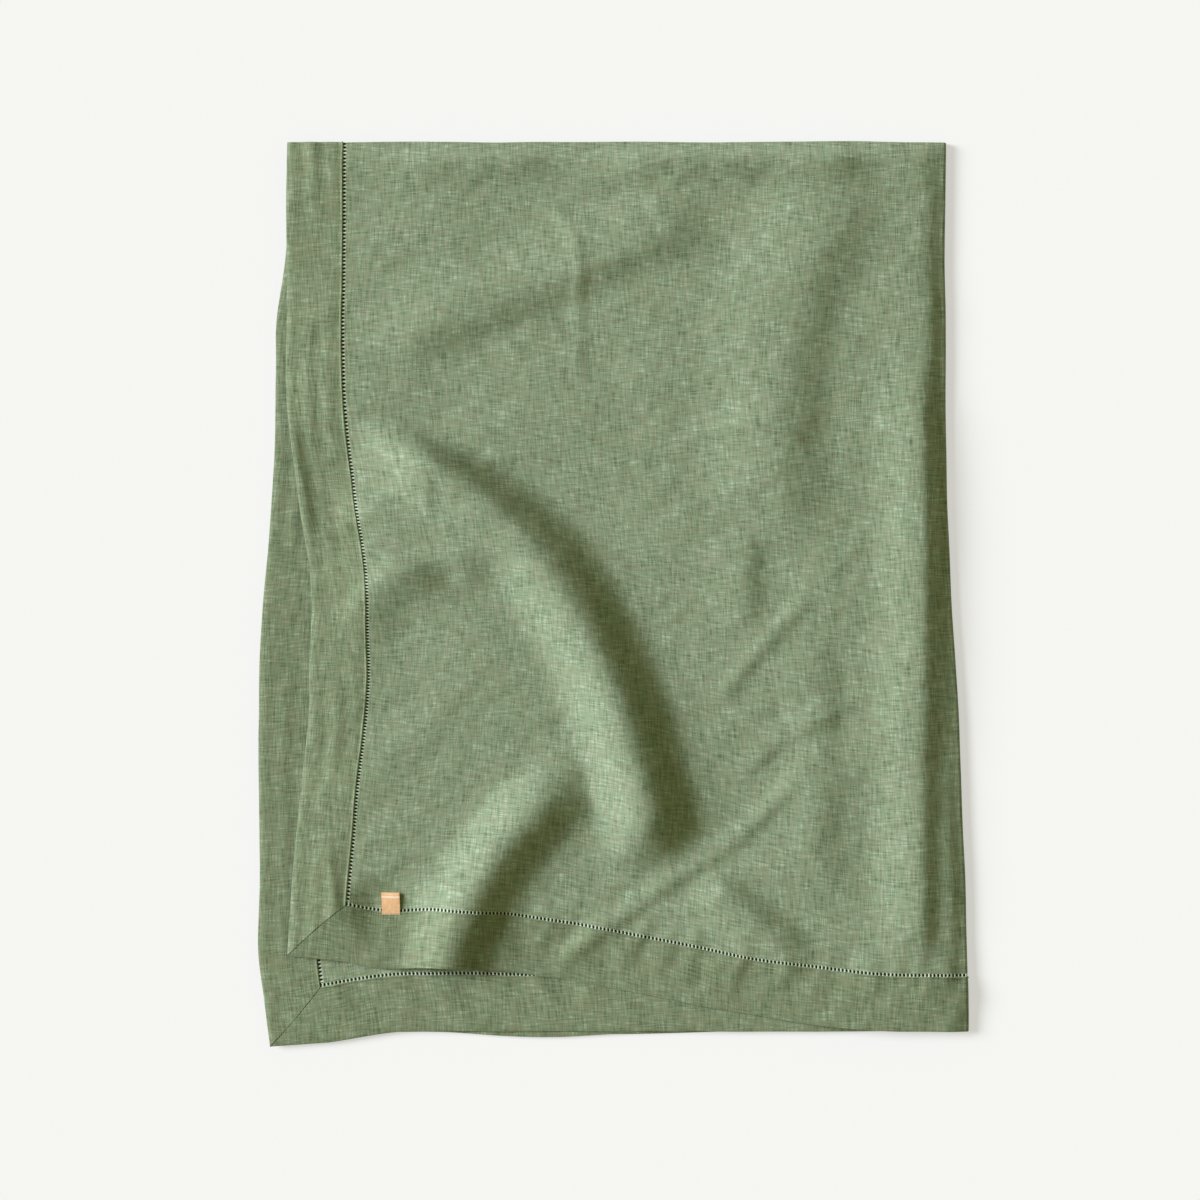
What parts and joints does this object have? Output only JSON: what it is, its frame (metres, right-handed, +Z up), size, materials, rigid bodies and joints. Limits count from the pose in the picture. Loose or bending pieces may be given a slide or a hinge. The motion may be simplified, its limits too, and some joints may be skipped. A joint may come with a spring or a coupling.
{
  "type": "folded tablecloth",
  "caption": "Linen tablecloth with mitred hemstitched borders and a small tape label, folded in quarters and lying flat with a soft ruck.",
  "frame": {"origin": "middle of the folded packet's footprint, on the surface that it lies on", "axes": "+X towards the second fold, +Y along the packet's length towards the first fold, +Z up out of the layers"},
  "size_m": [0.7179, 0.9176, 0.035],
  "materials": {
    "linen": "washed sage-green linen, plain weave with slubs",
    "border_linen": "washed sage-green linen, doubled",
    "thread": "matt green sewing thread",
    "tape": "natural cotton tape, unprinted"
  },
  "bodies": {
    "cloth": {"linen_panel": "linen", "border_near": "border_linen", "border_far": "border_linen", "border_left": "border_linen", "border_right": "border_linen", "hemstitch_near": "thread", "hemstitch_far": "thread", "hemstitch_left": "thread", "hemstitch_right": "thread", "mitre_near_left": "thread", "mitre_near_right": "thread", "mitre_far_left": "thread", "mitre_far_right": "thread", "label_sewn_end": "tape", "label_stitches": "thread"},
    "label": {"label_flap": "tape"}
  },
  "joints": [
    {"name": "label_flip", "type": "hinge", "parent": "cloth", "child": "label", "pos_m": [-0.22535, -0.32162, 0.0086], "axis": [1, 0, 0], "range_deg": [0, 170]}
  ]
}
